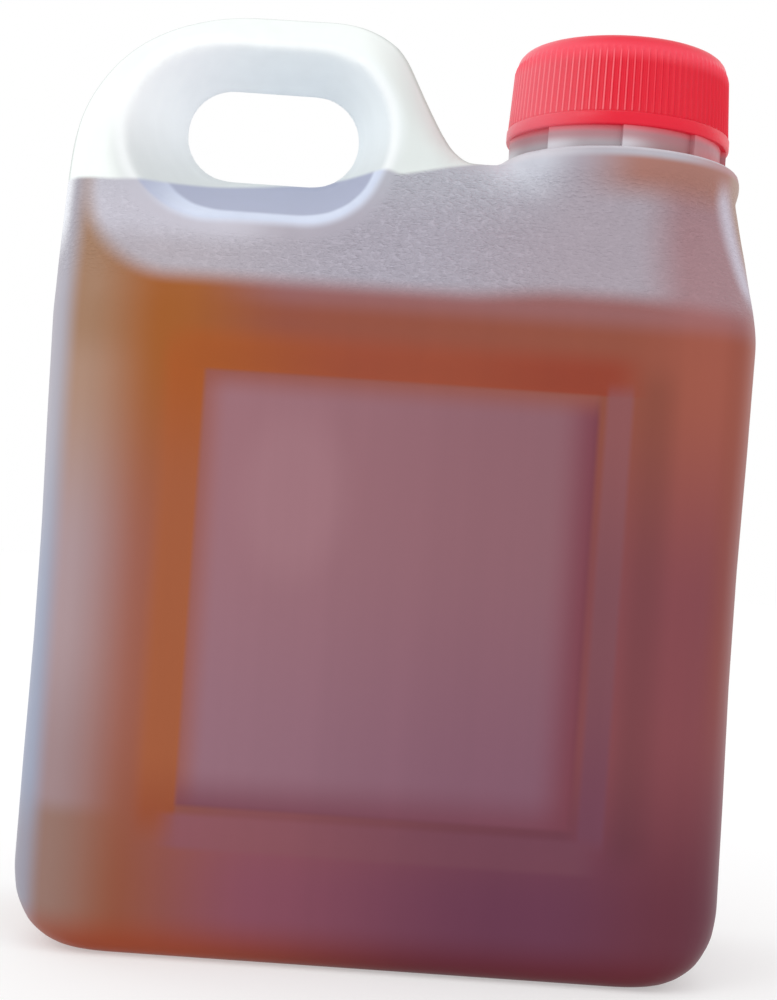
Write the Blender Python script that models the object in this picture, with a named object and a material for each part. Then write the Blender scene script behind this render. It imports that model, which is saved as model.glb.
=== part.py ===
"""A one-litre translucent jerrycan of honey with a red screw cap, in metres, +Z up.

It stands on Z = 0, centred on the Z axis, with its front face towards -Y. The hollow
bottle, the honey inside it and the cap are three separate objects. The handle, with
its finger hole, is at -X and the neck is at +X.
"""
import math

import bmesh
import bpy

# Body
BODY_LEFT = -0.0613
BODY_RIGHT = 0.0613
BODY_HALF_DEPTH = 0.0310
BODY_CORNER_R = 0.0110
BODY_WAIST = 0.0007
BASE_ROUND = 0.0125
BASE_EDGE = 0.0045
SHOULDER_Z = 0.1140
SHOULDER_BLEND = 0.0030
SHOULDER_SLOPE = 0.70
SIDE_TOP_Z = 0.1120
LEFT_RETREAT = 1.0
RIGHT_RETREAT = 0.10
RIGHT_CORNER_SHRINK = 0.10
SADDLE_Z = 0.1432
SADDLE_ROUND = 0.0030
SADDLE_ROUND_DEPTH = 0.0050

# Handle: a wide left leg that narrows upwards, a top tube and a thinner right leg
HANDLE_FOOT_Z = 0.1060
HANDLE_FOOT_INSET = 0.0012
HANDLE_START_Z = 0.1125
HANDLE_ARC_X = -0.0333
HANDLE_ARC_Z = 0.1395
HANDLE_ARC_R = 0.0280
HANDLE_TAPER = 0.39
HANDLE_RIGHT_HALF_DEPTH = 0.0130
HANDLE_LEFT_CORNER_R = 0.0075
HANDLE_CORNER_SHRINK = 0.18
HANDLE_RIGHT_CORNER_R = 0.0090
HANDLE_TOP_ROUND = 0.0120
HANDLE_TOP_FLAT = 0.0042
KNUCKLE_X = -0.0130
KNUCKLE_Z = 0.1550
KNUCKLE_R = 0.0125
KNUCKLE_END_ANGLE = 35.7
LEG_SPREAD = 0.46
LEG_FLARE = 5.0
LEG_FOOT_FILLET = 0.0018
LEG_FOOT_FILLET_HEIGHT = 0.0036

# Finger hole and the tapered dish on each side of it, which pinches to a thin web
HOLE_LEFT = -0.0425
HOLE_RIGHT = -0.0109
HOLE_Z = 0.14645
HOLE_HALF_HEIGHT = 0.00835
WEB_HALF = 0.0008
WEB_RIM = 0.0005
DISH_DRAFT = 0.4575
DISH_DROP = 0.015
DISH_REACH = 0.0340

# Recessed panels in the front and back faces
PANEL_LEFT = -0.0331
PANEL_RIGHT = 0.0339
PANEL_BOTTOM = 0.0263
PANEL_TOP = 0.1003
PANEL_DEPTH = 0.0018
PANEL_BEVEL = 0.0050
PANEL_CORNER_R = 0.0012

# Tower under the neck, the ring of ratchet teeth and the plain neck tube
TOWER_X = 0.0376
TOWER_R = 0.0212
TOWER_FOOT_Z = 0.1180
FLANGE_R = 0.0223
FLANGE_Z = 0.1450
FLANGE_HEIGHT = 0.0035
FLANGE_ROUND = 0.0012
NECK_X = 0.0369
NECK_R = 0.0175
NECK_BORE_R = 0.0160
NECK_TOP_Z = 0.1629
TOOTH_RING_TOP_Z = 0.1485
TOOTH_LOW_R = 0.0191
TOOTH_HIGH_R = 0.0201
TOOTH_COUNT = 9
TOOTH_STEPS = 5
TOOTH_FIRST_ANGLE = -93.5

# Cap
CAP_BOTTOM_Z = 0.1488
CAP_TOP_Z = 0.1653
CAP_LIP_R = 0.0205
CAP_LIP_TOP_Z = 0.1511
CAP_RIB_FOOT_R = 0.0199
CAP_RIB_HEAD_R = 0.0193
CAP_RIB_DEPTH = 0.0004
CAP_RIB_HEAD_Z = 0.1624
CAP_RIB_COUNT = 100
CAP_EDGE_ROUND = 0.0028
CAP_BORE_R = 0.0180
CAP_ROOF = 0.0015

# Wall, honey and mesh fineness
WALL = 0.0010
HONEY_GAP = 0.0003
HONEY_LEVEL_Z = 0.1325
CORNER_STEPS = 6
ROUND_STEPS = 48
PAST = 0.0030
TINY = 0.0002


def smooth_blend(value, start, width):
    """Zero before start, a slope of one after start + width, a parabola between."""
    if value <= start:
        return 0.0
    if value >= start + width:
        return value - start - width / 2.0
    return (value - start) ** 2 / (2.0 * width)


def quarter_round(fraction):
    """Drop of a quarter ellipse, from 0 at fraction 0 to 1 at fraction 1."""
    return 1.0 - math.sqrt(max(0.0, 1.0 - fraction * fraction))


def outline(left, right, half_left, half_right, radius_left, radius_right):
    """Rounded outline about the first axis, whose two ends may differ."""
    corners = (
        (right - radius_right, half_right - radius_right, radius_right, 0.0),
        (left + radius_left, half_left - radius_left, radius_left, 90.0),
        (left + radius_left, radius_left - half_left, radius_left, 180.0),
        (right - radius_right, radius_right - half_right, radius_right, 270.0),
    )
    points = []
    for u, v, radius, start in corners:
        for step in range(CORNER_STEPS + 1):
            angle = math.radians(start + 90.0 * step / CORNER_STEPS)
            points.append((u + radius * math.cos(angle), v + radius * math.sin(angle)))
    return points


def circle(radius, z, count=ROUND_STEPS, x=NECK_X):
    """Level ring of points round the neck's axis."""
    ring = []
    for index in range(count):
        angle = 2.0 * math.pi * index / count
        ring.append((x + radius * math.cos(angle), radius * math.sin(angle), z))
    return ring


def join_rings(mesh, lower, upper):
    """Side faces between two rings, of one size or of n and 2n points."""
    count = min(len(lower), len(upper))
    for index in range(count):
        after = (index + 1) % count
        if len(lower) == len(upper):
            mesh.faces.new((lower[index], lower[after], upper[after], upper[index]))
            continue
        if len(lower) < len(upper):
            few, many = lower, upper
        else:
            few, many = upper, lower
        first = many[2 * index]
        middle = many[2 * index + 1]
        last = many[(2 * index + 2) % len(many)]
        mesh.faces.new((few[index], middle, first))
        mesh.faces.new((few[index], few[after], middle))
        mesh.faces.new((few[after], last, middle))


def loft(name, rings, cutter=True):
    """Closed solid through rings of points, with a flat face at each end."""
    mesh = bmesh.new()
    loops = []
    for ring in rings:
        loops.append([mesh.verts.new(point) for point in ring])
    for lower, upper in zip(loops, loops[1:]):
        join_rings(mesh, lower, upper)
    mesh.faces.new(loops[0])
    mesh.faces.new(loops[-1])
    bmesh.ops.recalc_face_normals(mesh, faces=mesh.faces)
    data = bpy.data.meshes.new(name)
    mesh.to_mesh(data)
    mesh.free()
    shape = bpy.data.objects.new(name, data)
    bpy.context.scene.collection.objects.link(shape)
    if cutter:
        shape.hide_render = True
        shape.display_type = 'WIRE'
    return shape


def combine(target, operation, tools):
    """Live exact Booleans on target, one for each tool."""
    for tool in tools:
        boolean = target.modifiers.new(operation.lower() + "_" + tool.name, 'BOOLEAN')
        boolean.operation = operation
        boolean.solver = 'EXACT'
        boolean.object = tool


def edge_inset(z, inset, round_height):
    """Distance that a rounded bottom edge of this height lies inside the form at z."""
    height = round_height - inset
    fraction = min(1.0, max(0.0, (round_height - z) / height))
    return inset + height * quarter_round(fraction)


def body_ring(z, inset):
    """Plan outline of the body at height z, drawn in by inset on every side."""
    side_inset = edge_inset(z, inset, BASE_ROUND)
    depth_inset = edge_inset(z, inset, BASE_EDGE)
    above = max(0.0, z - SIDE_TOP_Z)
    slant = smooth_blend(z, SHOULDER_Z - SHOULDER_BLEND, 2.0 * SHOULDER_BLEND)
    steepness = 1.0
    if above > 0.0:
        steepness = math.hypot(1.0, SHOULDER_SLOPE)
    half = BODY_HALF_DEPTH - SHOULDER_SLOPE * slant - depth_inset * steepness
    top = SADDLE_Z - inset
    saddle_fraction = max(0.0, (z - (top - SADDLE_ROUND)) / SADDLE_ROUND)
    half -= SADDLE_ROUND_DEPTH * quarter_round(saddle_fraction)
    height = min(1.0, max(0.0, (z - BASE_ROUND) / (SIDE_TOP_Z - BASE_ROUND)))
    waist = BODY_WAIST * math.sin(math.pi * height) ** 2
    left = BODY_LEFT + side_inset + waist + LEFT_RETREAT * above
    right = BODY_RIGHT - side_inset - waist - RIGHT_RETREAT * above
    radius = BODY_CORNER_R - max(inset, 0.4 * side_inset)
    left_radius = min(radius, half - TINY)
    right_radius = min(radius - RIGHT_CORNER_SHRINK * above, half - TINY)
    points = outline(left, right, half, half, left_radius, right_radius)
    return [(u, v, z) for u, v in points]


def body(name, inset, cutter=True):
    """Rounded box with a slanted shoulder that ends in the narrow saddle."""
    rings = []
    for fraction in (0.0, 0.04, 0.13, 0.29):
        rings.append(body_ring(inset + (BASE_ROUND - inset) * fraction, inset))
    for fraction in (0.0, 0.45, 1.0):
        rings.append(body_ring(BASE_EDGE + (BASE_ROUND - BASE_EDGE) * fraction, inset))
    for fraction in (0.2, 0.4, 0.6, 0.8, 1.0):
        rings.append(body_ring(BASE_ROUND + (SIDE_TOP_Z - BASE_ROUND) * fraction, inset))
    for fraction in (0.05, 0.12, 0.20, 0.35, 0.52, 0.72):
        rings.append(body_ring(SIDE_TOP_Z + (SADDLE_Z - SIDE_TOP_Z) * fraction, inset))
    top = SADDLE_Z - inset
    for fraction in (0.0, 0.5, 0.85, 1.0):
        rings.append(body_ring(top - SADDLE_ROUND * (1.0 - fraction), inset))
    return loft(name, rings, cutter)


def leg_edge(z, inset):
    """X of the handle's right edge at height z."""
    radius = KNUCKLE_R - inset
    end_angle = math.radians(KNUCKLE_END_ANGLE)
    end_z = KNUCKLE_Z + radius * math.sin(end_angle)
    if z >= end_z:
        return KNUCKLE_X + math.sqrt(max(0.0, radius ** 2 - (z - KNUCKLE_Z) ** 2))
    drop = end_z - z
    edge = KNUCKLE_X + radius * math.cos(end_angle) + LEG_SPREAD * drop + LEG_FLARE * drop ** 2
    low = min(1.0, max(0.0, 1.0 - (z - SADDLE_Z + inset) / LEG_FOOT_FILLET_HEIGHT))
    return edge + LEG_FOOT_FILLET * low ** 2


def handle_ring(z, inset, foot=0.0):
    """Plan outline of the handle's outer form at height z."""
    radius = HANDLE_ARC_R - inset
    rise = min(radius, max(0.0, z - HANDLE_ARC_Z))
    left = HANDLE_ARC_X - math.sqrt(radius ** 2 - rise ** 2) + foot
    right = leg_edge(z, inset)
    narrowing = HANDLE_TAPER * max(0.0, z - SHOULDER_Z)
    half_left = BODY_HALF_DEPTH - narrowing - inset - foot
    half_right = HANDLE_RIGHT_HALF_DEPTH - inset
    top = HANDLE_ARC_Z + radius
    start = top - HANDLE_TOP_ROUND + inset
    drop = quarter_round(min(1.0, max(0.0, (z - start) / (top - start))))
    half_left -= (half_left - HANDLE_TOP_FLAT) * drop
    half_right -= (half_right - HANDLE_TOP_FLAT) * drop
    corner = BODY_CORNER_R - HANDLE_CORNER_SHRINK * max(0.0, z - SHOULDER_Z)
    left_radius = min(max(HANDLE_LEFT_CORNER_R, corner) - inset, half_left - TINY)
    right_radius = min(HANDLE_RIGHT_CORNER_R - inset, half_right - TINY)
    points = outline(left, right, half_left, half_right, left_radius, right_radius)
    return [(u, v, z) for u, v in points]


def handle(name, inset):
    """Outer form of the handle, which rises out of the body's left end."""
    rings = [handle_ring(HANDLE_FOOT_Z, inset, HANDLE_FOOT_INSET)]
    for z in (HANDLE_START_Z, 0.1200, 0.1280, 0.1350, HANDLE_ARC_Z, 0.1420, 0.1435, 0.1455):
        rings.append(handle_ring(z, inset))
    for angle in (20.0, 30.0, 40.0, 50.0, 60.0, 70.0, 80.0, 90.0):
        rise = (HANDLE_ARC_R - inset) * math.sin(math.radians(angle))
        rings.append(handle_ring(HANDLE_ARC_Z + rise, inset))
    return loft(name, rings)


def dish(name, side, grow=0.0):
    """Tapered cutter on one side of the finger hole, made larger all over by grow."""
    rings = []
    for depth in (WEB_HALF - grow, DISH_REACH):
        spread = WEB_RIM + DISH_DRAFT * (depth - WEB_HALF) + grow * math.hypot(1.0, DISH_DRAFT)
        half = HOLE_HALF_HEIGHT + spread
        left = HOLE_LEFT - spread
        right = HOLE_RIGHT + spread
        centre = HOLE_Z - DISH_DROP * (depth - WEB_HALF)
        points = outline(left, right, half, half, half - TINY, half - TINY)
        rings.append([(u, side * depth, centre + v) for u, v in points])
    return loft(name, rings)


def finger_hole(name):
    """Straight cutter through the web."""
    radius = HOLE_HALF_HEIGHT - TINY
    points = outline(HOLE_LEFT, HOLE_RIGHT, HOLE_HALF_HEIGHT, HOLE_HALF_HEIGHT, radius, radius)
    rings = []
    for y in (-PAST, PAST):
        rings.append([(u, y, HOLE_Z + v) for u, v in points])
    return loft(name, rings)


def panel(name, side, grow=0.0):
    """Cutter of a shallow bevelled panel in the front or the back face."""
    centre = (PANEL_BOTTOM + PANEL_TOP) / 2.0
    half_height = (PANEL_TOP - PANEL_BOTTOM) / 2.0
    floor = BODY_HALF_DEPTH - PANEL_DEPTH - grow
    rise = BODY_HALF_DEPTH + PAST / 6.0
    floor_spread = grow * PANEL_DEPTH / (2.0 * PANEL_BEVEL)
    rise_spread = floor_spread + PANEL_BEVEL * (rise - floor) / PANEL_DEPTH
    rings = []
    for depth, spread in ((floor, floor_spread), (rise, rise_spread), (rise + PAST, rise_spread)):
        radius = PANEL_CORNER_R + 0.3 * spread
        half = half_height + spread
        left = PANEL_LEFT - spread
        right = PANEL_RIGHT + spread
        points = outline(left, right, half, half, radius, radius)
        rings.append([(u, side * depth, centre + v) for u, v in points])
    return loft(name, rings)


def tower(name, inset):
    """Round tower at the body's right end, with a slightly wider flange on top."""
    wall_r = TOWER_R - inset
    flange_r = FLANGE_R - inset
    top = FLANGE_Z - inset
    profile = (
        (wall_r, TOWER_FOOT_Z),
        (wall_r, top - 2.0 * FLANGE_HEIGHT),
        (flange_r, top - FLANGE_HEIGHT),
        (flange_r, top - FLANGE_ROUND),
        (flange_r - 0.3 * FLANGE_ROUND, top - 0.3 * FLANGE_ROUND),
        (flange_r - FLANGE_ROUND, top),
    )
    return loft(name, [circle(radius, z, ROUND_STEPS, TOWER_X) for radius, z in profile])


def neck_tube(name):
    """Plain tube that the cap is screwed on; its thread can't be seen."""
    return loft(name, [circle(NECK_R, FLANGE_Z - WALL / 2.0), circle(NECK_R, NECK_TOP_Z)])


def neck_bore(name):
    """Cutter that opens the neck into the hollow body."""
    return loft(name, [circle(NECK_BORE_R, FLANGE_Z - PAST), circle(NECK_BORE_R, NECK_TOP_Z + PAST)])


def tooth_ring(name):
    """Ring of ratchet teeth round the foot of the neck: each ramps out, then steps in."""
    points = []
    for tooth in range(TOOTH_COUNT):
        for step in range(TOOTH_STEPS):
            fraction = step / (TOOTH_STEPS - 0.8)
            angle = math.radians(TOOTH_FIRST_ANGLE + 360.0 * (tooth + fraction) / TOOTH_COUNT)
            radius = TOOTH_HIGH_R - (TOOTH_HIGH_R - TOOTH_LOW_R) * fraction
            points.append((NECK_X + radius * math.cos(angle), radius * math.sin(angle)))
    rings = []
    for z in (FLANGE_Z - WALL * 0.4, TOOTH_RING_TOP_Z):
        rings.append([(x, y, z) for x, y in points])
    return loft(name, rings)


def ribbed_circle(radius, depth, z):
    """Ring whose points step in and out, one step for each side of each rib."""
    ring = []
    count = 2 * CAP_RIB_COUNT
    for index in range(count):
        angle = 2.0 * math.pi * index / count
        reach = radius + depth * (index % 2)
        ring.append((NECK_X + reach * math.cos(angle), reach * math.sin(angle), z))
    return ring


def cap():
    """Screw cap with a smooth lip, fine upright ribs and a rounded top edge."""
    edge_z = CAP_TOP_Z - CAP_EDGE_ROUND
    rings = [
        circle(CAP_LIP_R - TINY, CAP_BOTTOM_Z, CAP_RIB_COUNT),
        circle(CAP_LIP_R, CAP_BOTTOM_Z + TINY, CAP_RIB_COUNT),
        circle(CAP_LIP_R, CAP_LIP_TOP_Z, CAP_RIB_COUNT),
        ribbed_circle(CAP_RIB_FOOT_R, CAP_RIB_DEPTH, CAP_LIP_TOP_Z + TINY),
        ribbed_circle(CAP_RIB_HEAD_R, CAP_RIB_DEPTH, CAP_RIB_HEAD_Z),
    ]
    head_r = CAP_RIB_HEAD_R
    for angle in (15.0, 45.0, 70.0, 90.0):
        turn = math.radians(angle)
        radius = head_r - CAP_EDGE_ROUND * (1.0 - math.cos(turn))
        rings.append(circle(radius, edge_z + CAP_EDGE_ROUND * math.sin(turn), CAP_RIB_COUNT))
    shape = loft("cap", rings, cutter=False)
    hollow = [
        circle(CAP_BORE_R, CAP_BOTTOM_Z - PAST),
        circle(CAP_BORE_R, CAP_TOP_Z - CAP_ROOF),
    ]
    combine(shape, 'DIFFERENCE', [loft("cap_bore", hollow)])
    return shape


def hollow_form(name, inset, cutter=True):
    """The bottle's own form drawn in by inset: its cavity, or what fills it."""
    shape = body(name, inset, cutter)
    combine(shape, 'UNION', [handle(name + "_handle", inset), tower(name + "_tower", inset)])
    cuts = []
    for label, side in (("front", -1.0), ("back", 1.0)):
        cuts.append(dish(name + "_dish_" + label, side, inset))
        cuts.append(panel(name + "_panel_" + label, side, inset))
    combine(shape, 'DIFFERENCE', cuts)
    return shape


def bottle():
    """Hollow bottle, open at the mouth under the cap."""
    shape = body("bottle", 0.0, cutter=False)
    forms = [handle("handle", 0.0), tower("tower", 0.0), neck_tube("neck"), tooth_ring("teeth")]
    combine(shape, 'UNION', forms)
    cuts = []
    for label, side in (("front", -1.0), ("back", 1.0)):
        cuts.append(dish("dish_" + label, side))
        cuts.append(panel("panel_" + label, side))
    cuts.append(finger_hole("finger_hole"))
    cuts.append(hollow_form("cavity", WALL))
    cuts.append(neck_bore("neck_bore"))
    combine(shape, 'DIFFERENCE', cuts)
    return shape


def honey():
    """Honey inside the bottle, level at the height that shows in the handle's left leg."""
    shape = hollow_form("honey", WALL + HONEY_GAP, cutter=False)
    points = outline(2.0 * BODY_LEFT, 2.0 * BODY_RIGHT, 0.06, 0.06, 0.01, 0.01)
    rings = []
    for z in (HONEY_LEVEL_Z, SADDLE_Z + HANDLE_ARC_R):
        rings.append([(u, v, z) for u, v in points])
    combine(shape, 'DIFFERENCE', [loft("above_level", rings)])
    return shape


def principled(name, color, roughness, transmission=0.0):
    """Material with a Principled BSDF of one colour and roughness."""
    material = bpy.data.materials.new(name)
    material.use_nodes = True
    shader = material.node_tree.nodes["Principled BSDF"]
    shader.inputs["Base Color"].default_value = (*color, 1.0)
    shader.inputs["Roughness"].default_value = roughness
    shader.inputs["Transmission Weight"].default_value = transmission
    shader.inputs["Metallic"].default_value = 0.0
    return material


def finish(shape, material, sharp_angle):
    """Give shape its material and smooth shading between its sharp edges."""
    shape.data.materials.append(material)
    shape.data.shade_smooth()
    shape.data.set_sharp_from_angle(angle=math.radians(sharp_angle))


def main():
    for old in list(bpy.data.objects):
        bpy.data.objects.remove(old, do_unlink=True)
    finish(bottle(), principled("milky_plastic", (0.62, 0.58, 0.62), 0.38, 0.3), 30.0)
    finish(honey(), principled("honey", (0.42, 0.12, 0.05), 0.10, 0.4), 30.0)
    finish(cap(), principled("red_plastic", (0.75, 0.03, 0.06), 0.35), 25.0)


main()
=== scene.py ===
"""Looks of a translucent one-litre jerrycan of honey with a ribbed red screw cap.

The bottle's wall is a milky skin with soft fillets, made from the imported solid. The honey
fills it to just inside the wall, and the cap and the ring of ratchet teeth under it are
turned at a finer step than their solids. The front face looks towards -Y.

Lengths are in metres. In the colour functions the numbers given to rise, fall and band
say where on the bottle one tint goes over into the next.
"""
import math

import bmesh
import bpy
import numpy as np
from mathutils import Matrix, Vector


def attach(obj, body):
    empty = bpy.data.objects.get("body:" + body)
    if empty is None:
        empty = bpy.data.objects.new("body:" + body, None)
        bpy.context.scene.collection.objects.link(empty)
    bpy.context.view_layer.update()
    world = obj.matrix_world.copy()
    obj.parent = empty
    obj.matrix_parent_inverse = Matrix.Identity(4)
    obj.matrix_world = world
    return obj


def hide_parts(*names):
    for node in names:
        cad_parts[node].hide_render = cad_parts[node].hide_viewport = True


# Camera, on the photograph's frame of 777 x 1000
CAMERA_DISTANCE = 0.334
CAMERA_HEIGHT = 0.0704
CAMERA_LENS = 64.8
CAMERA_SENSOR = 36.0
CAMERA_ROLL = 4.0
CAMERA_SHIFT_Y = 0.0585
CAMERA_NEAR = 0.01

# Lamps: name, place, width, height, power and colour
LAMPS = (
    ("key", (-0.45, -0.55, 0.60), 0.30, 0.30, 0.80, (1.0, 1.0, 1.0)),
    ("rim_left", (-0.50, 0.28, 0.15), 0.25, 0.60, 0.30, (0.85, 0.92, 1.0)),
    ("rim_right", (0.50, 0.32, 0.20), 0.18, 0.50, 0.15, (0.88, 0.92, 1.0)),
)
LAMP_AIM = (0.0, 0.0, 0.08)
FLOOR_HALF = 6.0
FLOOR_GLOW = 0.42
WHITE = (1.0, 1.0, 1.0, 1.0)

# Body and recessed panels
HALF_DEPTH = 0.0310
PANEL_LEFT = -0.0331
PANEL_RIGHT = 0.0339
PANEL_BOTTOM = 0.0263
PANEL_TOP = 0.1003
PATCH_X = -0.0170
PATCH_Z = 0.0800
PATCH_SQUEEZE = 0.4

# Slanted shoulder, and the edge where its grain and painted sky sheen begin
SLANT_START_Z = 0.1140
SLANT_SLOPE = 0.70
SHOULDER_Z = 0.1160
SHOULDER_CURVE_X = -0.0400
SHOULDER_CURVE_R = 0.0160
SHOULDER_LIFT = 0.0014
SHOULDER_SOFT = 0.0023
GRAIN_SCALE = 950.0
GRAIN_STRETCH = (1.0, 1.0, 2.4)
GRAIN_RELIEF = 0.00065
# Strength of the painted glints and shade on the grain
GRAIN_SHADE = 0.14
SEAM_RELIEF = 0.00012

# Tower under the neck, with a painted highlight down its right side
FLANGE_Z = 0.1450
NECK_X = 0.0369
NECK_SIDE_X = 0.0163
HIGHLIGHT_TOP_X = 0.0553
HIGHLIGHT_TOP_Z = 0.1410
HIGHLIGHT_BEND = 9.0

# Finger hole, and the dish round it
HOLE_X = -0.0267
HOLE_Z = 0.14645
HOLE_HALF_FLAT = 0.00745
HOLE_R = 0.00835
WEB_HALF = 0.0008
WEB_RIM = 0.0005
DISH_DRAFT = 0.4575
DISH_DROP = 0.015

# Skin made from the solid
SKIN_TOP_Z = FLANGE_Z + 0.0002
VOXEL = 0.0009
WELD = 1e-6
CUT_TOLERANCE = 1e-7
SMOOTH_SHARE = 0.5
SMOOTH_PASSES = 7.0
LEFT_PASSES = 34.0
TOWER_PASSES = 24.0
WEB_PASSES = 5.5

# Honey, and the film of it that wets the wall above its level
HONEY_INSET = 0.0008
HONEY_LEVEL_Z = 0.1325
FILM_START_X = -0.052
FILM_CLIMB = 2.5
FILM_DISH_Y = 0.026
FILM_DISH_CLIMB = 0.13
FILM_SOFT = 0.0005

# Ring of ratchet teeth
TEETH_FOOT_Z = FLANGE_Z - 0.0004
TEETH_TOP_Z = 0.1488
TOOTH_LOW_R = 0.0191
TOOTH_HIGH_R = 0.0201
TOOTH_COUNT = 9
TOOTH_FIRST_ANGLE = -93.5
TOOTH_STEPS = 20
TOOTH_SLOPE_STEPS = TOOTH_STEPS - 0.6
TOOTH_SHARP_ANGLE = 40.0

# Cap
CAP_BOTTOM_Z = 0.1488
CAP_TOP_Z = 0.1653
CAP_LIP_R = 0.0205
CAP_LIP_TOP_Z = 0.1511
CAP_RIB_FOOT_R = 0.0199
CAP_RIB_HEAD_R = 0.0193
CAP_RIB_DEPTH = 0.0004
CAP_RIB_HEAD_Z = 0.1624
CAP_RIB_COUNT = 100
CAP_RIB_STEPS = 10
CAP_RIB_SHARPNESS = 1.3
CAP_RIB_RINGS = (0.25, 0.5, 0.75, 0.93)
CAP_RIB_HEIGHT = CAP_RIB_HEAD_Z - CAP_LIP_TOP_Z
CAP_DRAFT = (CAP_RIB_FOOT_R - CAP_RIB_HEAD_R) / CAP_RIB_HEIGHT
CAP_EDGE_ROUND = 0.0028
CAP_EDGE_ANGLES = (8.0, 20.0, 33.0, 46.0, 59.0, 72.0, 82.0, 90.0)

# Light that the wall's gloss adds to its own colour, and the least base colour
SHEEN = 0.012
DARKEST = 0.001

# Colour sockets of the mix node
MIX_FIRST = 6
MIX_SECOND = 7
MIX_RESULT = 2


def srgb(red, green, blue):
    """Linear colour of a screen colour given from 0 to 255."""
    linear = []
    for value in (red, green, blue):
        share = value / 255.0
        if share <= 0.04045:
            linear.append(share / 12.92)
        else:
            linear.append(((share + 0.055) / 1.055) ** 2.4)
    return (*linear, 1.0)


def seen(red, green, blue):
    """Linear base colour of a satin wall that shows as this screen colour."""
    return (*(max(DARKEST, value - SHEEN) for value in srgb(red, green, blue)[:3]), 1.0)


class Field:
    """A number that varies over a surface, as the output of a shader node."""

    def __init__(self, tree, socket):
        self.tree = tree
        self.socket = socket

    def math(self, operation, first, second=None):
        node = self.tree.nodes.new("ShaderNodeMath")
        node.operation = operation
        for slot, value in zip(node.inputs, (first, second)):
            if isinstance(value, Field):
                self.tree.links.new(value.socket, slot)
            elif value is not None:
                slot.default_value = value
        return Field(self.tree, node.outputs[0])

    def __add__(self, other):
        return self.math("ADD", self, other)

    def __sub__(self, other):
        return self.math("SUBTRACT", self, other)

    def __rsub__(self, other):
        return self.math("SUBTRACT", other, self)

    def __mul__(self, other):
        return self.math("MULTIPLY", self, other)

    def size(self):
        return self.math("ABSOLUTE", self)

    def most(self, other):
        return self.math("MAXIMUM", self, other)

    def root(self):
        return self.math("SQRT", self)

    def rise(self, low, high):
        """Zero below low and one above high, smooth between."""
        node = self.tree.nodes.new("ShaderNodeMapRange")
        node.interpolation_type = "SMOOTHSTEP"
        self.tree.links.new(self.socket, node.inputs["Value"])
        node.inputs["From Min"].default_value = low
        node.inputs["From Max"].default_value = high
        return Field(self.tree, node.outputs["Result"])

    def fall(self, low, high):
        """One below low and zero above high, smooth between."""
        return 1.0 - self.rise(low, high)

    def band(self, low, high, soft):
        """One between low and high, with soft ends."""
        return self.rise(low - soft, low + soft) * self.fall(high - soft, high + soft)


class Surface:
    """One procedural material: fields of the place on the surface, mixed into a shader."""

    def __init__(self, name):
        self.material = bpy.data.materials.new(name)
        self.material.use_nodes = True
        self.tree = self.material.node_tree
        self.shader = self.tree.nodes["Principled BSDF"]
        self.texture = self.tree.nodes.new("ShaderNodeTexCoord")
        self.place = self.texture.outputs["Object"]
        parts = self.tree.nodes.new("ShaderNodeSeparateXYZ")
        self.tree.links.new(self.place, parts.inputs[0])
        self.x, self.y, self.z = (Field(self.tree, parts.outputs[axis]) for axis in "XYZ")

    def facing(self):
        """One where the surface faces straight to the front or back, and zero on the sides."""
        parts = self.tree.nodes.new("ShaderNodeSeparateXYZ")
        self.tree.links.new(self.texture.outputs["Normal"], parts.inputs[0])
        return Field(self.tree, parts.outputs["Y"]).size()

    def from_neck(self):
        """Distance from the neck's upright axis."""
        across = self.x - NECK_X
        return (across * across + self.y * self.y).root()

    def noise(self, scale, detail=3.0, stretch=(1.0, 1.0, 1.0)):
        """Cloudy pattern from 0 to 1, with scale in features per metre."""
        mapping = self.tree.nodes.new("ShaderNodeMapping")
        mapping.inputs["Scale"].default_value = stretch
        self.tree.links.new(self.place, mapping.inputs["Vector"])
        node = self.tree.nodes.new("ShaderNodeTexNoise")
        node.inputs["Scale"].default_value = scale
        node.inputs["Detail"].default_value = detail
        self.tree.links.new(mapping.outputs[0], node.inputs["Vector"])
        return Field(self.tree, node.outputs["Fac"])

    def blend(self, first, second, share):
        """The first colour, going over to the second as share goes from 0 to 1."""
        node = self.tree.nodes.new("ShaderNodeMix")
        node.data_type = "RGBA"
        self.tree.links.new(share.socket, node.inputs[0])
        for index, colour in ((MIX_FIRST, first), (MIX_SECOND, second)):
            slot = node.inputs[index]
            if isinstance(colour, tuple):
                slot.default_value = colour
            else:
                self.tree.links.new(colour, slot)
        return node.outputs[MIX_RESULT]

    def shade(self, colour, share):
        """Colour made darker or lighter by the number in share."""
        node = self.tree.nodes.new("ShaderNodeVectorMath")
        node.operation = "SCALE"
        self.tree.links.new(colour, node.inputs[0])
        self.tree.links.new(share.socket, node.inputs["Scale"])
        return node.outputs[0]

    def feed(self, name, value):
        """Sets a socket of the shader to a number, a field or a colour."""
        slot = self.shader.inputs[name]
        if isinstance(value, Field):
            self.tree.links.new(value.socket, slot)
        elif isinstance(value, bpy.types.NodeSocket):
            self.tree.links.new(value, slot)
        else:
            slot.default_value = value

    def bump(self, height):
        """Fine relief from a height field in metres."""
        node = self.tree.nodes.new("ShaderNodeBump")
        node.inputs["Strength"].default_value = 1.0
        node.inputs["Distance"].default_value = 1.0
        self.tree.links.new(height.socket, node.inputs["Height"])
        self.tree.links.new(node.outputs[0], self.shader.inputs["Normal"])


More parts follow.
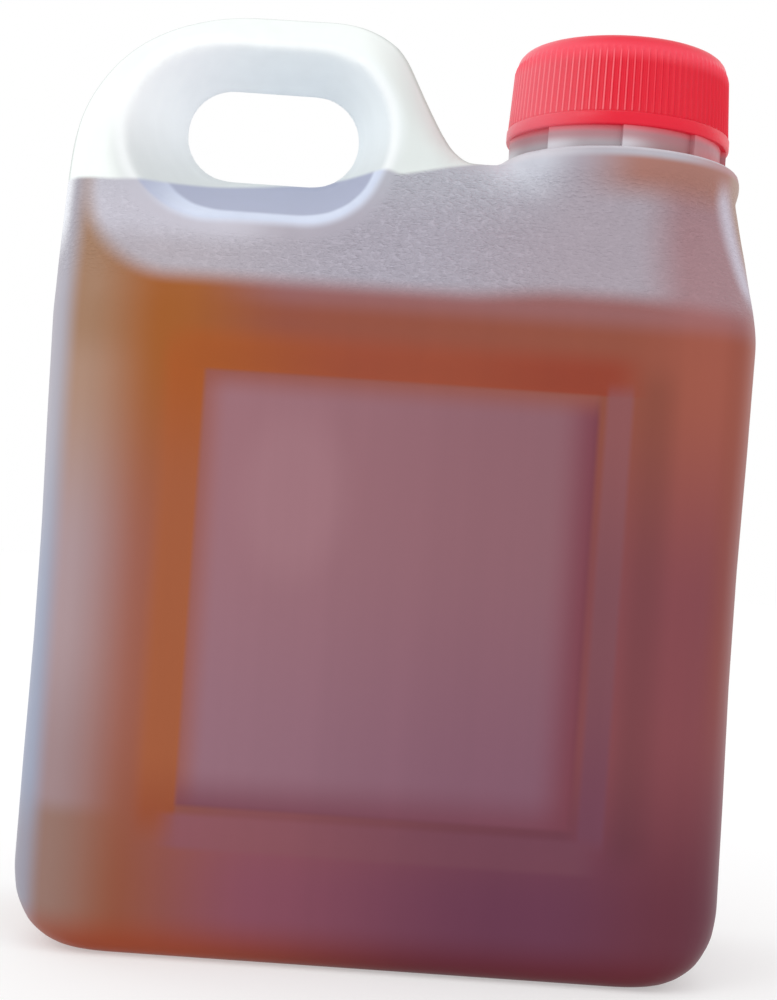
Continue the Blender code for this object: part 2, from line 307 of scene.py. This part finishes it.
def margin_colour(s):
    """Honey behind the flat faces: amber at the top left, wine at the lower right."""
    top = s.blend(seen(156, 90, 42), seen(143, 79, 63), s.x.rise(-0.040, -0.018))
    top = s.blend(top, seen(156, 86, 71), s.x.rise(0.036, 0.054))
    middle = s.blend(seen(151, 91, 75), seen(129, 70, 76), s.x.rise(-0.040, 0.048))
    low = s.blend(seen(142, 81, 58), seen(133, 76, 91), s.x.rise(-0.046, -0.018))
    low = s.blend(low, seen(103, 56, 77), s.x.rise(-0.026, 0.024))
    low = s.blend(low, seen(101, 50, 63), s.x.rise(0.030, 0.052))
    colour = s.blend(top, middle, s.z.fall(0.064, 0.106))
    return s.blend(colour, low, s.z.fall(0.012, 0.046))


def bevel_colour(s, colour):
    """Painted light on the panel's bevels: the left and top ones bright amber with painted
    backlight, the right and bottom ones duller with a painted sky sheen, and painted shade on the
    face right of the panel.
    """
    tall = s.z.band(PANEL_BOTTOM - 0.004, PANEL_TOP + 0.004, 0.004)
    wide = s.x.band(PANEL_LEFT - 0.001, PANEL_RIGHT + 0.003, 0.003)
    # Painted shade on the face right of the panel's right bevel.
    shade_side = s.x.band(PANEL_RIGHT + 0.0064, PANEL_RIGHT + 0.0125, 0.0025) * tall
    colour = s.shade(colour, 1.0 - shade_side * 0.17)

    # Painted light coming through the left bevel, bright amber.
    bevel_glow = s.blend(seen(147, 76, 50), seen(160, 90, 58), s.z.rise(0.022, 0.036))
    bevel_glow = s.blend(bevel_glow, seen(163, 86, 40), s.z.rise(0.078, 0.102))
    left = s.x.rise(PANEL_LEFT - 0.0084, PANEL_LEFT - 0.0047)
    left = left * s.x.fall(PANEL_LEFT - 0.0005, PANEL_LEFT + 0.0005)
    colour = s.blend(colour, bevel_glow, left * tall)

    # Painted light coming through the top bevel, bright amber.
    bevel_glow = s.blend(seen(162, 86, 40), seen(151, 74, 53), s.x.rise(-0.038, -0.004))
    bevel_glow = s.blend(bevel_glow, seen(145, 65, 48), s.x.rise(0.004, 0.032))
    top = s.z.rise(PANEL_TOP - 0.0003, PANEL_TOP + 0.0003)
    top = top * s.z.fall(PANEL_TOP + 0.0037, PANEL_TOP + 0.0087)
    top = top * s.x.band(PANEL_LEFT - 0.004, PANEL_RIGHT + 0.005, 0.004)
    colour = s.blend(colour, bevel_glow, top)

    # Painted sky sheen, duller and mauve, on the right bevel.
    bevel_sheen = s.blend(seen(111, 66, 84), seen(121, 76, 85), s.z.rise(0.028, 0.060))
    bevel_sheen = s.blend(bevel_sheen, seen(136, 84, 88), s.z.rise(0.062, 0.098))
    right = s.x.band(PANEL_RIGHT + 0.0012, PANEL_RIGHT + 0.0054, 0.0006)
    right = right * s.z.band(PANEL_BOTTOM - 0.0020, PANEL_TOP + 0.0010, 0.0020)
    colour = s.blend(colour, bevel_sheen, right * 0.8)

    # Painted sky sheen on the bottom bevel.
    bevel_sheen = s.blend(seen(136, 82, 90), seen(112, 65, 80), s.x.rise(-0.030, 0.024))
    bottom = s.z.band(PANEL_BOTTOM - 0.0070, PANEL_BOTTOM - 0.0014, 0.0007)
    return s.blend(colour, bevel_sheen, bottom * wide)


def panel_colour(s):
    """Mauve floor of the recessed panels, paler in one patch, amber along its left and top edges,
    and darker along its right edge and foot with painted shade of the recess.
    """
    left = s.blend(seen(145, 106, 119), seen(152, 108, 116), s.z.rise(0.030, 0.085))
    right = s.blend(seen(129, 88, 105), seen(139, 96, 105), s.z.rise(0.026, 0.080))
    colour = s.blend(left, right, s.x.rise(-0.032, 0.024))
    across = s.x - PATCH_X
    up = s.z - PATCH_Z
    from_patch = (across * across + up * up * PATCH_SQUEEZE).root()
    colour = s.blend(colour, seen(161, 119, 127), from_patch.fall(0.005, 0.012) * 0.45)
    left_edge = s.x.fall(PANEL_LEFT - 0.0007, PANEL_LEFT + 0.0046)
    colour = s.blend(colour, seen(150, 92, 86), left_edge)
    # Painted shade of the recess along its right edge.
    right_shade = s.x.rise(PANEL_RIGHT - 0.0077, PANEL_RIGHT + 0.0006)
    colour = s.blend(colour, seen(121, 63, 75), right_shade)
    top_edge = s.z.rise(PANEL_TOP - 0.0048, PANEL_TOP + 0.0012)
    colour = s.blend(colour, seen(147, 84, 72), top_edge)
    # Painted shade of the recess along its foot.
    foot = s.z.fall(PANEL_BOTTOM - 0.0018, PANEL_BOTTOM + 0.0072)
    return s.blend(colour, seen(116, 62, 76), foot * 0.9)


def film_colour(s):
    """Milky wall with honey behind it, below the shoulder, with painted shade in the panel's
    creases, a painted sheen and reflection down the left side and painted light along the bottom
    edge.
    """
    colour = bevel_colour(s, margin_colour(s))
    floor = s.x.band(PANEL_LEFT, PANEL_RIGHT, 0.0006) * s.z.band(PANEL_BOTTOM, PANEL_TOP, 0.0005)
    colour = s.blend(colour, panel_colour(s), floor)
    # Painted shade in the creases along the panel's foot and right side.
    foot = s.z.band(PANEL_BOTTOM - 0.0014, PANEL_BOTTOM + 0.0002, 0.0006)
    foot = foot * s.x.band(PANEL_LEFT, PANEL_RIGHT, 0.002)
    side = s.x.band(PANEL_RIGHT - 0.0007, PANEL_RIGHT + 0.0010, 0.0005)
    side = side * s.z.band(PANEL_BOTTOM, PANEL_TOP, 0.002)
    colour = s.shade(colour, 1.0 - foot * 0.13 - side * 0.07)

    # Painted sheen of light over the left margin.
    left_sheen = s.blend(seen(166, 133, 114), seen(166, 143, 146), s.z.fall(0.066, 0.100))
    left_sheen = s.blend(left_sheen, seen(155, 130, 132), s.z.fall(0.032, 0.056))
    left_sheen = s.blend(left_sheen, seen(157, 121, 96), s.z.rise(0.098, 0.107))
    left_sheen = s.blend(left_sheen, seen(145, 113, 103), s.z.fall(0.0225, 0.0270))
    colour = s.blend(colour, left_sheen, s.x.fall(-0.0545, -0.0405))
    # Painted bluish reflection of the sky on the rounded left corner.
    edge = s.blend(seen(166, 162, 172), seen(150, 156, 176), s.z.fall(0.055, 0.098))
    edge = s.blend(edge, seen(148, 145, 158), s.z.fall(0.018, 0.030))
    colour = s.blend(colour, edge, s.x.fall(-0.0588, -0.0545) * s.y.size().rise(0.012, 0.022))
    flank = s.x.rise(0.0530, 0.0580) * s.z.rise(0.030, 0.060)
    colour = s.blend(colour, seen(142, 70, 54), flank * 0.5)
    # Painted light coming through the bottom edge: orange at the left, darker at the right.
    foot_glow = s.blend(seen(150, 68, 42), seen(98, 38, 46), s.x.rise(-0.040, 0.016))
    return s.blend(colour, foot_glow, s.z.fall(0.0005, 0.0090))


def shoulder_share(s):
    """One above the shoulder's lower edge, which curves up beside the handle's left leg."""
    across = (SHOULDER_CURVE_X - s.x).most(0.0)
    lift = s.x.band(0.018, 0.046, 0.009) * SHOULDER_LIFT
    up = (SHOULDER_Z + SHOULDER_CURVE_R - s.z + lift).most(0.0)
    reach = (across * across + up * up).root()
    return reach.fall(SHOULDER_CURVE_R - SHOULDER_SOFT, SHOULDER_CURVE_R + SHOULDER_SOFT)


def sky_sheen_colour(s):
    """Grained shoulder, whitish with a painted sky sheen, rosier on the tower under the neck, with
    painted highlights on the tower and along the flange's top edge.
    """
    colour = s.blend(seen(178, 171, 179), seen(171, 166, 178), s.x.rise(-0.044, -0.005))
    colour = s.blend(colour, seen(195, 192, 203), s.z.rise(0.120, 0.126) * s.x.fall(-0.032, -0.020))
    colour = s.blend(colour, seen(167, 157, 167), s.x.rise(0.000, 0.030))
    colour = s.blend(colour, seen(179, 180, 190), s.z.rise(0.126, 0.142) * s.x.fall(0.010, 0.034))
    # Painted highlight on the tower's left front.
    tower_highlight = s.x.band(0.013, 0.025, 0.004) * s.z.rise(0.1330, 0.1425)
    colour = s.blend(colour, seen(208, 210, 220), tower_highlight * 0.9)
    colour = s.blend(colour, seen(160, 126, 132), s.x.rise(0.0385, 0.0485))
    warm = s.x.rise(0.027, 0.040) * s.z.rise(0.1340, 0.1405)
    colour = s.blend(colour, seen(165, 117, 107), warm)

    # Painted highlight down the tower's right side, with the side beyond it browner.
    fallen = HIGHLIGHT_TOP_Z - s.z
    from_highlight = s.x - HIGHLIGHT_TOP_X - fallen * fallen * HIGHLIGHT_BEND
    colour = s.blend(colour, seen(168, 138, 126), from_highlight.rise(0.0000, 0.0024))
    highlight_streak = from_highlight.size().fall(0.0000, 0.0026) * s.z.band(0.119, 0.140, 0.003)
    colour = s.blend(colour, seen(198, 192, 206), highlight_streak * 0.85)

    # Painted highlight along the flange's top edge.
    top = s.z.rise(FLANGE_Z - 0.0010, FLANGE_Z - 0.0002)
    flange = s.blend(seen(214, 212, 220), seen(180, 176, 185), s.x.rise(0.019, 0.032))
    flange = s.blend(flange, seen(208, 209, 217), top)
    flange = s.blend(flange, seen(180, 140, 143), s.x.rise(0.044, 0.056) * (1.0 - top))
    return s.blend(colour, flange, s.z.rise(FLANGE_Z - 0.0026, FLANGE_Z - 0.0012))


def outside_hole(s):
    """Distance outside the finger hole's edge, which widens from the web to the faces."""
    depth = s.y.size() - WEB_HALF
    across = ((s.x - HOLE_X).size() - HOLE_HALF_FLAT).most(0.0)
    up = s.z - HOLE_Z + depth * DISH_DROP
    from_hole = (across * across + up * up).root()
    return from_hole - depth * DISH_DRAFT - (HOLE_R + WEB_RIM)


def wet_colour(s, shoulder, outside):
    """Wall with honey behind it or on it: flat faces, grained shoulder and dish, with painted sheen
    and highlights.
    """
    # Painted sheen of light over the top of the face.
    top_sheen = s.z.rise(0.1100, 0.1145) * s.x.rise(-0.036, -0.018)
    colour = s.blend(film_colour(s), seen(152, 130, 148), top_sheen * 0.26)
    colour = s.blend(colour, sky_sheen_colour(s), shoulder)
    # Painted highlight on the rounded left corner.
    gleam = s.x.fall(-0.0604, -0.0580) * s.z.rise(0.116, 0.126) * s.y.size().rise(0.013, 0.018)
    colour = s.blend(colour, seen(230, 232, 238), gleam)
    colour = s.blend(colour, seen(171, 176, 199), outside.fall(0.0001, 0.0006))
    # Painted highlight along the dish's lower ridge.
    below_face = HALF_DEPTH - (s.z - SLANT_START_Z) * SLANT_SLOPE - s.y.size()
    lip = below_face.fall(0.0011, 0.0026) * outside.fall(-0.0002, 0.0014)
    lip = lip * s.x.rise(-0.050, -0.038)
    return s.blend(colour, seen(219, 227, 245), lip * 0.92)


def bare_colour(s, outside, dish):
    """Milky wall above the film, darker along its rounded edges with painted shade, paler in the
    dish with painted light, and with a painted highlight on the dish's rim.
    """
    milk = s.blend(srgb(241, 246, 244), srgb(222, 229, 227), s.x.rise(-0.012, -0.002))
    # Painted shade where the surface turns away from the front.
    facing = s.facing()
    edge_shade = facing.rise(0.04, 0.14) * facing.fall(0.24, 0.50) * (1.0 - dish)
    milk = s.blend(milk, srgb(186, 195, 190), edge_shade)
    # Painted light coming through the dish from behind, less towards its lower part.
    dish_light = s.blend(srgb(252, 254, 255), srgb(240, 247, 248), s.x.rise(-0.044, -0.024))
    dish_light = s.blend(srgb(210, 215, 215), dish_light, s.z.rise(0.132, 0.150))
    milk = s.blend(milk, dish_light, dish)
    # Painted highlight on the dish's rim.
    rim = outside.rise(-0.0002, 0.0006) * outside.fall(0.0006, 0.0022)
    return s.blend(milk, srgb(248, 251, 252), rim * 0.6)


def wet_share(s, dish):
    """One below the film's edge, which climbs to the right and into the dish."""
    reach = s.x - FILM_START_X
    climb = reach * reach * FILM_CLIMB
    climb = climb + dish * (FILM_DISH_Y - s.y.size()) * FILM_DISH_CLIMB
    return (s.z - climb).fall(HONEY_LEVEL_Z - FILM_SOFT, HONEY_LEVEL_Z + FILM_SOFT)


def skin_material():
    """Milky polyethylene: wetted by honey up to the film's edge, and bare above it."""
    s = Surface("milky_plastic")
    shoulder = shoulder_share(s)
    outside = outside_hole(s)
    dish = outside.fall(0.0001, 0.0040)
    wet = wet_share(s, dish)
    colour = s.blend(bare_colour(s, outside, dish), wet_colour(s, shoulder, outside), wet)

    grained = s.z.rise(0.113, 0.119) * outside.rise(0.0015, 0.0035) * wet
    grained = grained * s.z.fall(0.138, 0.143) * (s.x.rise(-0.050, -0.010) * 0.5 + 0.5)
    grained = grained * (s.x.fall(0.010, 0.032) * 0.5 + 0.5)
    grain = s.noise(GRAIN_SCALE, 1.0, GRAIN_STRETCH)
    # Painted glints and shade on the grain's relief.
    grain_glint = grained * (grain.rise(0.48, 0.70) - 0.22) * GRAIN_SHADE
    streaks = s.noise(260.0, 2.0, (1.0, 1.0, 0.03))
    colour = s.shade(s.shade(colour, grain_glint + 1.0), streaks * 0.08 + 0.96)
    s.feed("Base Color", colour)

    s.feed("Roughness", streaks * 0.10 + shoulder * 0.08 + 0.37)
    s.feed("Specular IOR Level", 0.25)
    seam = s.y.size().fall(0.0001, 0.0004)
    s.bump(grain * grained * GRAIN_RELIEF + seam * SEAM_RELIEF)
    return s.material


def honey_material():
    """Dark amber liquid, redder and deeper towards the lower right."""
    s = Surface("honey")
    deep = s.z.fall(0.0, 0.11) * s.x.rise(-0.060, 0.030)
    colour = s.blend(srgb(186, 92, 26), srgb(160, 66, 36), s.x.rise(-0.045, 0.030))
    colour = s.blend(colour, srgb(92, 28, 32), deep)
    colour = s.shade(colour, s.noise(40.0, 2.0) * 0.16 + 0.92)
    s.feed("Base Color", colour)
    s.feed("Roughness", 0.12)
    return s.material


def teeth_material():
    """Bare milky plastic tinted by the honey below, with painted highlights on the teeth and a
    painted red reflection of the cap above.
    """
    s = Surface("milky_teeth")
    colour = s.blend(srgb(164, 154, 160), srgb(172, 163, 169), s.noise(240.0, 2.0))
    # Painted highlight on the teeth's outer edges.
    crest_highlight = s.from_neck().rise(TOOTH_HIGH_R - 0.00055, TOOTH_HIGH_R - 0.00005)
    colour = s.blend(colour, srgb(206, 202, 209), crest_highlight)
    # Painted red reflection of the cap, stronger towards the right.
    colour = s.blend(colour, srgb(160, 98, 98), s.x.rise(0.034, 0.046) * 0.7)
    colour = s.blend(colour, srgb(196, 84, 92), s.x.rise(0.044, 0.056) * 0.8)
    # Painted red reflection of the cap, stronger towards the top.
    upper = s.z.rise(FLANGE_Z + 0.0005, FLANGE_Z + 0.0024)
    colour = s.blend(colour, srgb(172, 116, 123), upper * 0.8)
    cap_reflection = s.z.rise(FLANGE_Z + 0.0024, TEETH_TOP_Z)
    colour = s.blend(colour, srgb(226, 98, 110), cap_reflection * 0.8)
    s.feed("Base Color", colour)
    s.feed("Roughness", 0.40)
    s.feed("Specular IOR Level", 0.30)
    s.bump(s.noise(900.0, 2.0) * 0.00006)
    return s.material


def cap_material():
    """Satin red plastic with a faint uneven sheen, painted lighter on its left half, with painted
    highlights on its ribs there and along its top edge.
    """
    s = Surface("red_plastic")
    colour = s.blend(srgb(222, 16, 46), srgb(227, 21, 51), s.noise(90.0, 3.0))
    # Painted light on the left half.
    colour = s.blend(srgb(240, 112, 126), colour, s.x.rise(0.013, 0.035))
    # Painted highlights on the rib tops of the left half.
    crest_highlight = s.from_neck() + (s.z - CAP_LIP_TOP_Z) * CAP_DRAFT - CAP_RIB_FOOT_R
    crest_highlight = crest_highlight.rise(CAP_RIB_DEPTH * 0.45, CAP_RIB_DEPTH * 0.90)
    crest_highlight = crest_highlight * s.z.rise(CAP_LIP_TOP_Z - 0.0003, CAP_LIP_TOP_Z + 0.0003)
    crest_highlight = crest_highlight * s.x.fall(0.030, 0.044)
    colour = s.blend(colour, srgb(255, 142, 150), crest_highlight * 0.6)
    # Painted highlight along the top edge.
    shoulder = s.z.band(CAP_RIB_HEAD_Z - 0.0014, CAP_RIB_HEAD_Z + 0.0014, 0.0012)
    colour = s.blend(colour, srgb(250, 84, 104), shoulder * 0.6)
    s.feed("Base Color", colour)
    s.feed("Roughness", s.noise(500.0, 3.0) * 0.12 + 0.30)
    s.feed("Specular IOR Level", 0.30)
    s.feed("Subsurface Weight", 0.12)
    s.feed("Subsurface Radius", (0.003, 0.0006, 0.0006))
    s.feed("Subsurface Scale", 1.0)
    s.bump(s.noise(1400.0, 2.0) * 0.00004)
    return s.material


def new_object(name, mesh, material, slot, *nodes):
    """Object of the part from a bmesh, which rides on the part's only body."""
    data = bpy.data.meshes.new(name)
    mesh.to_mesh(data)
    mesh.free()
    data.materials.append(material)
    shape = bpy.data.objects.new(name, data)
    bpy.context.scene.collection.objects.link(shape)
    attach(shape, "root")
    if nodes:
        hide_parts(*nodes)
    return shape


def island_with_lowest(mesh):
    """The connected faces that hold the lowest vertex, as a set."""
    lowest = min(mesh.verts, key=lambda vertex: vertex.co.z)
    found = set(lowest.link_faces)
    front = list(found)
    while front:
        face = front.pop()
        for edge in face.edges:
            for other in edge.link_faces:
                if other not in found:
                    found.add(other)
                    front.append(other)
    return found


def cut_above(mesh, parts, height):
    """Takes away what lies above height, of the given parts of a bmesh."""
    bmesh.ops.bisect_plane(
        mesh, geom=parts, dist=CUT_TOLERANCE, plane_co=(0.0, 0.0, height),
        plane_no=(0.0, 0.0, 1.0), clear_outer=True)


def close_rims(mesh):
    """Fills each open rim of a bmesh with a face."""
    rim = [edge for edge in mesh.edges if edge.is_boundary]
    bmesh.ops.holes_fill(mesh, edges=rim, sides=0)


def outer_shell(source):
    """The solid bottle's outer surface, closed over the foot of the neck."""
    mesh = bmesh.new()
    mesh.from_mesh(source.data)
    bmesh.ops.remove_doubles(mesh, verts=mesh.verts, dist=WELD)
    faces = [face for face in mesh.faces if all(v.co.x > NECK_SIDE_X for v in face.verts)]
    parts = set(faces)
    for face in faces:
        parts.update(face.edges)
        parts.update(face.verts)
    cut_above(mesh, list(parts), SKIN_TOP_Z)
    keep = island_with_lowest(mesh)
    drop = [face for face in mesh.faces if face not in keep]
    bmesh.ops.delete(mesh, geom=drop, context="FACES")
    close_rims(mesh)
    bmesh.ops.recalc_face_normals(mesh, faces=mesh.faces)
    return mesh


def remeshed(mesh):
    """Even mesh of small squares over a closed bmesh, as a new bmesh."""
    data = bpy.data.meshes.new("shell")
    mesh.to_mesh(data)
    mesh.free()
    shell = bpy.data.objects.new("shell", data)
    bpy.context.scene.collection.objects.link(shell)
    remesh = shell.modifiers.new("remesh", "REMESH")
    remesh.mode = "VOXEL"
    remesh.voxel_size = VOXEL
    bpy.context.view_layer.update()
    even = bmesh.new()
    even.from_object(shell, bpy.context.evaluated_depsgraph_get())
    bpy.data.objects.remove(shell)
    return even


def smooth_ramp(values, low, high):
    """Zero below low and one above high, smooth between, for arrays."""
    share = np.clip((values - low) / (high - low), 0.0, 1.0)
    return share * share * (3.0 - 2.0 * share)


def soften(mesh):
    """Rounds the shell's edges and fills its creases, most on the shoulder."""
    mesh.verts.ensure_lookup_table()
    mesh.verts.index_update()
    points = np.array([v.co[:] for v in mesh.verts])
    edges = np.array([(e.verts[0].index, e.verts[1].index) for e in mesh.edges])
    ends = np.concatenate((edges[:, 0], edges[:, 1]))
    others = np.concatenate((edges[:, 1], edges[:, 0]))
    count = np.bincount(ends, minlength=len(points))[:, None]
    x, y, z = points.T
    across = np.maximum(np.abs(x - HOLE_X) - HOLE_HALF_FLAT, 0.0)
    from_hole = np.hypot(across, z - HOLE_Z)
    passes = np.full(len(points), SMOOTH_PASSES)
    left = smooth_ramp(-x, 0.030, 0.040) * smooth_ramp(z, 0.108, 0.114)
    passes += LEFT_PASSES * left * smooth_ramp(from_hole, 0.019, 0.024)
    tower = smooth_ramp(x, 0.010, 0.018) * smooth_ramp(-x, -0.050, -0.043)
    tower *= smooth_ramp(z, 0.114, 0.118) * smooth_ramp(-z, -0.139, -0.135)
    passes += TOWER_PASSES * tower
    web = smooth_ramp(-np.abs(y), -0.0040, -0.0020) * smooth_ramp(-from_hole, -0.0120, -0.0100)
    passes -= WEB_PASSES * web
    for step in range(int(passes.max()) + 1):
        total = np.empty_like(points)
        for axis in range(3):
            total[:, axis] = np.bincount(ends, points[others, axis], len(points))
        share = SMOOTH_SHARE * np.clip(passes - step, 0.0, 1.0)[:, None]
        points += share * (total / count - points)
    for vertex, point in zip(mesh.verts, points):
        vertex.co = point
    return mesh


def skin(source):
    """The bottle's milky wall, from its solid."""
    mesh = soften(remeshed(outer_shell(source)))
    for face in mesh.faces:
        face.smooth = True
    return new_object("bottle_wall", mesh, skin_material(), "milky_plastic", "bottle")


def honey(wall):
    """What fills the bottle: the wall's form drawn in and cut at the level."""
    mesh = bmesh.new()
    mesh.from_mesh(wall.data)
    mesh.normal_update()
    for vertex, place in [(v, v.co - HONEY_INSET * v.normal) for v in mesh.verts]:
        vertex.co = place
    whole = list(mesh.verts) + list(mesh.edges) + list(mesh.faces)
    cut_above(mesh, whole, HONEY_LEVEL_Z)
    close_rims(mesh)
    for face in mesh.faces:
        face.smooth = len(face.verts) <= 4
    return new_object("honey_fill", mesh, honey_material(), "honey", "honey")


def turned(rings):
    """Bmesh through rings of (x, y, z) points, closed at both ends."""
    mesh = bmesh.new()
    loops = [[mesh.verts.new(point) for point in ring] for ring in rings]
    for lower, upper in zip(loops, loops[1:]):
        for index in range(len(lower)):
            after = (index + 1) % len(lower)
            face = mesh.faces.new((lower[index], lower[after], upper[after], upper[index]))
            face.smooth = True
    mesh.faces.new(loops[0])
    mesh.faces.new(loops[-1])
    bmesh.ops.recalc_face_normals(mesh, faces=mesh.faces)
    return mesh


def ring(radius, z, count, spread=None):
    """Points round the neck's axis; spread gives each its own extra radius."""
    points = []
    for index in range(count):
        angle = 2.0 * math.pi * index / count
        reach = radius
        if spread is not None:
            reach += spread(index)
        points.append((NECK_X + reach * math.cos(angle), reach * math.sin(angle), z))
    return points


def cap():
    """Screw cap with rounded upright ribs, a smooth lip and a soft top edge."""
    count = CAP_RIB_COUNT * CAP_RIB_STEPS

    def rib(share):
        def height(index):
            wave = math.cos(2.0 * math.pi * (index % CAP_RIB_STEPS) / CAP_RIB_STEPS)
            return share * CAP_RIB_DEPTH * max(0.0, wave) ** CAP_RIB_SHARPNESS
        return height

    lip = (
        (0.0010, CAP_BOTTOM_Z),
        (0.0003, CAP_BOTTOM_Z),
        (0.0001, CAP_BOTTOM_Z + 0.0001),
        (0.0000, CAP_BOTTOM_Z + 0.0004),
        (0.0000, CAP_LIP_TOP_Z - 0.0003),
        (0.0001, CAP_LIP_TOP_Z - 0.0001),
        (0.0003, CAP_LIP_TOP_Z),
    )
    rings = [ring(CAP_LIP_R - inset, z, count) for inset, z in lip]
    rings.append(ring(CAP_RIB_FOOT_R + 0.0001, CAP_LIP_TOP_Z + 0.0001, count, rib(0.3)))
    rings.append(ring(CAP_RIB_FOOT_R, CAP_LIP_TOP_Z + 0.0004, count, rib(1.0)))
    for share in CAP_RIB_RINGS:
        radius = CAP_RIB_FOOT_R + (CAP_RIB_HEAD_R - CAP_RIB_FOOT_R) * share
        rings.append(ring(radius, CAP_LIP_TOP_Z + CAP_RIB_HEIGHT * share, count, rib(1.0)))
    rings.append(ring(CAP_RIB_HEAD_R, CAP_RIB_HEAD_Z, count, rib(0.55)))
    edge_z = CAP_TOP_Z - CAP_EDGE_ROUND
    for angle in CAP_EDGE_ANGLES:
        turn = math.radians(angle)
        radius = CAP_RIB_HEAD_R - CAP_EDGE_ROUND * (1.0 - math.cos(turn))
        rings.append(ring(radius, edge_z + CAP_EDGE_ROUND * math.sin(turn), count))
    return new_object("screw_cap", turned(rings), cap_material(), "red_plastic", "cap")


def teeth():
    """Ring of ratchet teeth between the flange and the cap."""
    depth = TOOTH_HIGH_R - TOOTH_LOW_R

    def outline(z):
        points = []
        for index in range(TOOTH_COUNT * TOOTH_STEPS):
            fraction = (index % TOOTH_STEPS) / TOOTH_SLOPE_STEPS
            turn = (index // TOOTH_STEPS + fraction) / TOOTH_COUNT
            angle = math.radians(TOOTH_FIRST_ANGLE) + 2.0 * math.pi * turn
            reach = TOOTH_HIGH_R - depth * fraction
            points.append((NECK_X + reach * math.cos(angle), reach * math.sin(angle), z))
        return points

    mesh = turned([outline(TEETH_FOOT_Z), outline(TEETH_TOP_Z)])
    shape = new_object("neck_teeth", mesh, teeth_material(), "milky_plastic")
    shape.data.set_sharp_from_angle(angle=math.radians(TOOTH_SHARP_ANGLE))
    return shape


def area_light(name, place, width, height, power, colour):
    """Soft rectangular light at place, turned towards the bottle."""
    data = bpy.data.lights.new(name, "AREA")
    data.shape = "RECTANGLE"
    data.size = width
    data.size_y = height
    data.energy = power
    data.color = colour
    lamp = bpy.data.objects.new(name, data)
    lamp.location = place
    beam = Vector(LAMP_AIM) - Vector(place)
    lamp.rotation_euler = beam.to_track_quat("-Z", "Y").to_euler()
    bpy.context.scene.collection.objects.link(lamp)


def stage():
    """White floor under a white sky, and soft studio light."""
    mesh = bmesh.new()
    bmesh.ops.create_grid(mesh, x_segments=8, y_segments=8, size=FLOOR_HALF)
    data = bpy.data.meshes.new("floor")
    mesh.to_mesh(data)
    mesh.free()
    s = Surface("white_floor")
    s.feed("Base Color", s.blend(srgb(198, 198, 198), srgb(201, 201, 201), s.noise(3.0)))
    s.feed("Emission Color", WHITE)
    s.feed("Emission Strength", FLOOR_GLOW)
    s.feed("Roughness", 0.9)
    s.feed("Specular IOR Level", 0.1)
    data.materials.append(s.material)
    floor = bpy.data.objects.new("floor", data)
    bpy.context.scene.collection.objects.link(floor)

    world = bpy.data.worlds.new("studio")
    world.use_nodes = True
    sky = world.node_tree.nodes["Background"]
    sky.inputs["Color"].default_value = WHITE
    sky.inputs["Strength"].default_value = 1.0
    bpy.context.scene.world = world
    for lamp in LAMPS:
        area_light(*lamp)


def camera():
    """Camera at the photograph's height and distance, rolled by its tilt."""
    data = bpy.data.cameras.new("camera")
    data.lens = CAMERA_LENS
    data.sensor_width = CAMERA_SENSOR
    data.shift_y = CAMERA_SHIFT_Y
    data.clip_start = CAMERA_NEAR
    lens = bpy.data.objects.new("camera", data)
    roll = Matrix.Rotation(math.radians(CAMERA_ROLL), 4, "Z")
    upright = Matrix.Rotation(math.radians(90.0), 4, "X")
    place = Matrix.Translation((0.0, -CAMERA_DISTANCE, CAMERA_HEIGHT))
    lens.matrix_world = place @ upright @ roll
    bpy.context.scene.collection.objects.link(lens)
    bpy.context.scene.camera = lens


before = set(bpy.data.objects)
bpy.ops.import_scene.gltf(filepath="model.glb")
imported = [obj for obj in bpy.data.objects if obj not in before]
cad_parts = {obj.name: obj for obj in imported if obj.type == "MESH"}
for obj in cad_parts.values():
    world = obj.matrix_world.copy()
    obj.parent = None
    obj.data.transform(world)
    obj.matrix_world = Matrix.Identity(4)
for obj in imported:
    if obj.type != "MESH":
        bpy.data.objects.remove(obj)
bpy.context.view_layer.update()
bpy.context.scene.view_settings.view_transform = "Standard"
wall = skin(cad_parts["bottle"])
honey(wall)
teeth()
cap()
stage()
camera()
